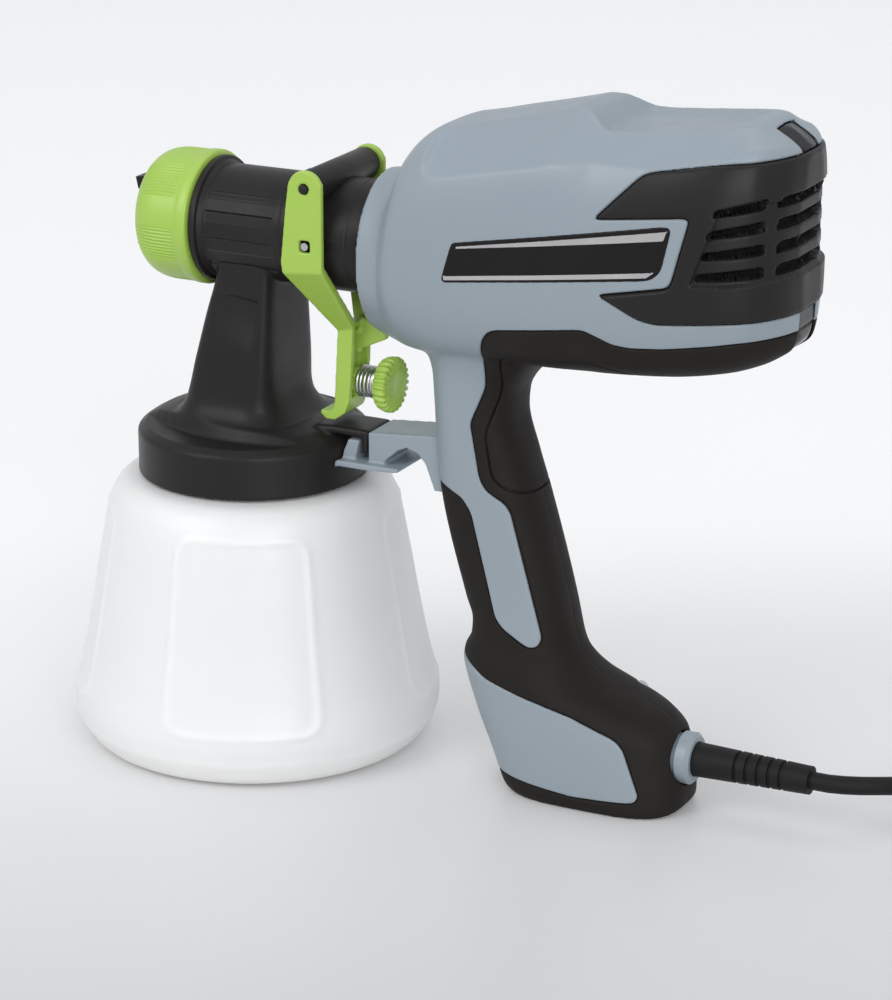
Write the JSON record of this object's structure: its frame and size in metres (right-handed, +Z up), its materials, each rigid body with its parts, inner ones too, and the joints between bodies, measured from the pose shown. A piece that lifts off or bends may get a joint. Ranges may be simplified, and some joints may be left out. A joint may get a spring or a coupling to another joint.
{
  "type": "handheld paint sprayer",
  "caption": "Pistol-grip turbine paint sprayer: blower housing with rear air slots, screw-on paint cup under the nozzle, lime trigger, flow knob and cap ring, and a mains lead.",
  "frame": {"origin": "centre of the bounding box of the sprayer without its free lead, on the surface it stands on", "axes": "+X from the nozzle towards the rear air inlet, +Y to the side with the screw heads, +Z up"},
  "size_m": [0.4725, 0.2245, 0.2698],
  "materials": {
    "shell_blue": "satin moulded shell, fine texture",
    "soft_grip": "soft matt overmould",
    "black_plastic": "satin glass-filled nylon",
    "gloss_black": "polished",
    "lime": "satin",
    "cup_white": "translucent natural polyethylene",
    "steel": "bright",
    "white_plastic": "plain",
    "grey_plastic": "plain",
    "black_rubber": "matt",
    "winding": "enamelled wire and steel core",
    "plug_brass": "bright",
    "foam": "open foam"
  },
  "bodies": {
    "housing": {"housing_left": "shell_blue", "housing_right": "shell_blue", "grip_left": "soft_grip", "grip_right": "soft_grip", "grip_pad": "soft_grip", "base_panel_left": "shell_blue", "base_panel_right": "shell_blue", "rear_grille": "black_plastic", "rear_spine": "gloss_black", "housing_screws": "steel", "air_filter": "foam", "air_duct": "grey_plastic", "fan_drum": "grey_plastic", "fan_drum_ring": "black_rubber", "motor_can": "steel", "motor_end_cap": "grey_plastic", "front_bearing": "steel", "rear_bearing": "steel", "carbon_brushes": "black_rubber", "motor_mount_ring": "black_rubber", "switch_body": "black_plastic", "terminal_block": "white_plastic", "cord_clamp": "grey_plastic", "paint_head": "black_plastic", "barrel_seal": "black_rubber", "suction_tube": "white_plastic", "fluid_nozzle": "black_plastic", "needle_packing": "white_plastic", "needle_spring": "steel", "trigger_pin": "black_plastic", "cord_gland": "shell_blue", "strain_relief": "black_rubber", "cord": "black_rubber", "cord_coil": "black_rubber", "plug_body": "black_plastic", "plug_pins": "plug_brass"},
    "rotor": {"fan_wheel": "white_plastic", "motor_shaft": "steel", "armature": "winding"},
    "switch_rod": {"switch_rod": "white_plastic"},
    "needle": {"needle": "steel", "needle_carrier": "steel"},
    "trigger": {"trigger": "lime", "knob_spring": "steel"},
    "knob_washer": {"knob_washer": "steel"},
    "flow_knob": {"flow_knob": "lime"},
    "cap_washer": {"cap_washer": "white_plastic"},
    "cap_ring": {"cap_ring": "lime"},
    "air_cap": {"air_cap": "black_plastic"},
    "cup_gasket": {"cup_gasket": "white_plastic"},
    "paint_cup": {"paint_cup": "cup_white"}
  },
  "joints": [
    {"name": "trigger_pull", "type": "hinge", "parent": "housing", "child": "trigger", "pos_m": [-0.04375, 0, 0.2295], "axis": [0, -1, 0], "range_deg": [0, 11], "stiffness_Nm_per_rad": 0.8, "springref_deg": -20.05},
    {"name": "needle_slide", "type": "slide", "parent": "housing", "child": "needle", "axis": [1, 0, 0], "range_m": [0, 0.00425], "deforming": ["needle_spring"]},
    {"name": "switch_rod_slide", "type": "slide", "parent": "housing", "child": "switch_rod", "axis": [1, 0, 0], "range_m": [0, 0.0095]},
    {"name": "knob_advance", "type": "slide", "parent": "trigger", "child": "knob_washer", "axis": [1, 0, 0], "range_m": [-0.002, 0], "deforming": ["knob_spring"]},
    {"name": "knob_turn", "type": "hinge", "parent": "knob_washer", "child": "flow_knob", "pos_m": [-0.02495, 0, 0.1503], "axis": [-1, 0, 0], "range_deg": [0, 720]},
    {"name": "cap_advance", "type": "slide", "parent": "housing", "child": "cap_washer", "axis": [-1, 0, 0], "range_m": [0, 0.002]},
    {"name": "cap_ring_turn", "type": "hinge", "parent": "cap_washer", "child": "cap_ring", "pos_m": [-0.11175, 0, 0.2075], "axis": [-1, 0, 0], "range_deg": [0, 270]},
    {"name": "air_cap_turn", "type": "hinge", "parent": "cap_washer", "child": "air_cap", "pos_m": [-0.12175, 0, 0.2075], "axis": [1, 0, 0], "range_deg": [0, 90]},
    {"name": "cup_drop", "type": "slide", "parent": "housing", "child": "cup_gasket", "axis": [0, 0, -1], "range_m": [0, 0.004]},
    {"name": "cup_turn", "type": "hinge", "parent": "cup_gasket", "child": "paint_cup", "pos_m": [-0.08175, 0, 0.06], "axis": [0, 0, -1], "range_deg": [0, 360]},
    {"name": "fan_spin", "type": "hinge", "parent": "housing", "child": "rotor", "pos_m": [0.06825, 0, 0.218], "axis": [1, 0, 0], "continuous": true}
  ],
  "couplings": [
    {"joint": "needle_slide", "follows": "trigger_pull", "m_per_rad": 0.022},
    {"joint": "switch_rod_slide", "follows": "trigger_pull", "m_per_rad": 0.048},
    {"joint": "knob_advance", "follows": "knob_turn", "m_per_rad": -0.00015915},
    {"joint": "cap_advance", "follows": "cap_ring_turn", "m_per_rad": 0.000424},
    {"joint": "cup_drop", "follows": "cup_turn", "m_per_rad": 0.00063661}
  ]
}
